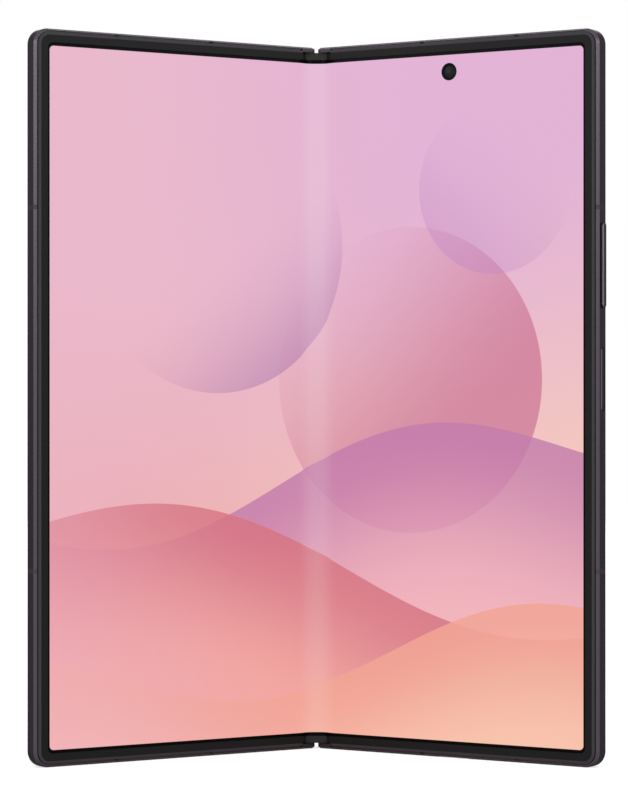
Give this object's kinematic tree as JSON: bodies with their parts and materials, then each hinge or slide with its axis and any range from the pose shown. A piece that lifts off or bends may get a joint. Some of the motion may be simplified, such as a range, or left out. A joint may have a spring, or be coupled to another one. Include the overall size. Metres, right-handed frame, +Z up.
{
  "type": "foldable smartphone",
  "caption": "Book-style foldable phone: two slim halves with an inner folding display, cover display, camera island, geared hinge spine, sprung side keys and a sliding card tray",
  "frame": {"origin": "on the surface that the phone stands on, under the centre of its box at rest", "axes": "+X to the right as the inner display is read, +Y back, away from the viewer of the inner display, +Z up along the fold"},
  "size_m": [0.1241, 0.0417, 0.1584],
  "materials": {
    "frame_metal": "dark satin anodised",
    "antenna_plastic": "satin",
    "rim_plastic": "satin soft black",
    "display_screen": "lit screen under a clear polymer film",
    "support_metal": "plain",
    "spine_metal": "dark satin anodised",
    "cap_plastic": "satin",
    "hinge_steel": "plain",
    "gear_steel": "plain",
    "battery_pouch": "black wrapped pouch",
    "cover_screen": "unlit screen",
    "cover_glass": "clear polished",
    "back_glass": "dark frosted",
    "camera_body": "black",
    "circuit_board": "solder mask",
    "shield_steel": "plain",
    "motor_steel": "plain",
    "speaker_plastic": "black",
    "magnet_metal": "plated",
    "island_metal": "dark satin",
    "ring_metal": "dark polished",
    "lens_glass": "coated",
    "flash_lens": "clear with a warm emitter",
    "coil_copper": "enamelled winding",
    "port_steel": "plain",
    "port_plastic": "black",
    "key_metal": "dark satin anodised",
    "switch_plastic": "flexible circuit",
    "tray_metal": "dark satin anodised"
  },
  "bodies": {
    "spine": {"spine_cover": "spine_metal", "hinge_end_cap_top": "cap_plastic", "hinge_end_cap_bottom": "cap_plastic", "hinge_blocks": "hinge_steel", "hinge_block_screws": "hinge_steel", "hinge_spring_washers": "hinge_steel", "fold_center_plate": "support_metal", "display_fold_zone": "display_screen"},
    "left_half": {"left_frame": "frame_metal", "left_antenna_breaks": "antenna_plastic", "left_bezel_rim": "rim_plastic", "display_panel_left": "display_screen", "left_support_plate": "support_metal", "left_battery": "battery_pouch", "cover_display_panel": "cover_screen", "cover_glass": "cover_glass", "cover_camera": "camera_body", "sub_board": "circuit_board", "vibration_motor": "motor_steel", "earpiece": "speaker_plastic", "card_socket": "shield_steel", "left_hinge_arms": "hinge_steel", "left_arm_screws": "hinge_steel", "left_magnets": "magnet_metal"},
    "right_half": {"right_frame": "frame_metal", "right_antenna_breaks": "antenna_plastic", "right_bezel_rim": "rim_plastic", "display_panel_right": "display_screen", "right_support_plate": "support_metal", "inner_camera": "camera_body", "back_glass": "back_glass", "camera_island": "island_metal", "camera_rings": "ring_metal", "camera_lenses": "lens_glass", "camera_modules": "camera_body", "flash_led": "flash_lens", "main_board": "circuit_board", "port_board": "circuit_board", "board_shields": "shield_steel", "right_battery": "battery_pouch", "charging_coil": "coil_copper", "usb_port_shell": "port_steel", "usb_port_tongue": "port_plastic", "bottom_speaker": "speaker_plastic", "top_speaker": "speaker_plastic", "right_hinge_arms": "hinge_steel", "right_arm_screws": "hinge_steel", "right_magnets": "magnet_metal", "key_switches": "switch_plastic"},
    "left_sync": {"left_sync_shafts": "gear_steel"},
    "right_sync": {"right_sync_shafts": "gear_steel"},
    "volume_key": {"volume_key": "key_metal"},
    "power_key": {"power_key": "key_metal"},
    "card_tray": {"card_tray": "tray_metal"}
  },
  "joints": [
    {"name": "left_fold", "type": "hinge", "parent": "spine", "child": "left_half", "pos_m": [-0.0009, 0.0177, 0.0792], "axis": [0, 0, 1], "range_deg": [-32.8, 57.2], "deforming": ["display_fold_zone"]},
    {"name": "right_fold", "type": "hinge", "parent": "spine", "child": "right_half", "pos_m": [0.0009, 0.0177, 0.0792], "axis": [0, 0, 1], "range_deg": [-57.2, 32.8], "deforming": ["display_fold_zone"]},
    {"name": "left_sync_turn", "type": "hinge", "parent": "spine", "child": "left_sync", "pos_m": [-0.00075, 0.01901, 0.0792], "axis": [0, 0, 1], "range_deg": [-32.8, 57.2]},
    {"name": "right_sync_turn", "type": "hinge", "parent": "spine", "child": "right_sync", "pos_m": [0.00075, 0.01901, 0.0792], "axis": [0, 0, 1], "range_deg": [-57.2, 32.8]},
    {"name": "volume_press", "type": "slide", "parent": "right_half", "child": "volume_key", "axis": [-0.8406, 0.5417, 0], "range_m": [0, 0.00025], "stiffness_N_per_m": 400, "springref_m": -0.001},
    {"name": "power_press", "type": "slide", "parent": "right_half", "child": "power_key", "axis": [-0.8406, 0.5417, 0], "range_m": [0, 0.00025], "stiffness_N_per_m": 400, "springref_m": -0.001},
    {"name": "tray_slide", "type": "slide", "parent": "left_half", "child": "card_tray", "axis": [0, 0, -1], "range_m": [0, 0.017]}
  ],
  "couplings": [
    {"joint": "right_fold", "follows": "left_fold", "ratio": -1},
    {"joint": "left_sync_turn", "follows": "left_fold", "ratio": 1},
    {"joint": "right_sync_turn", "follows": "left_fold", "ratio": -1}
  ]
}
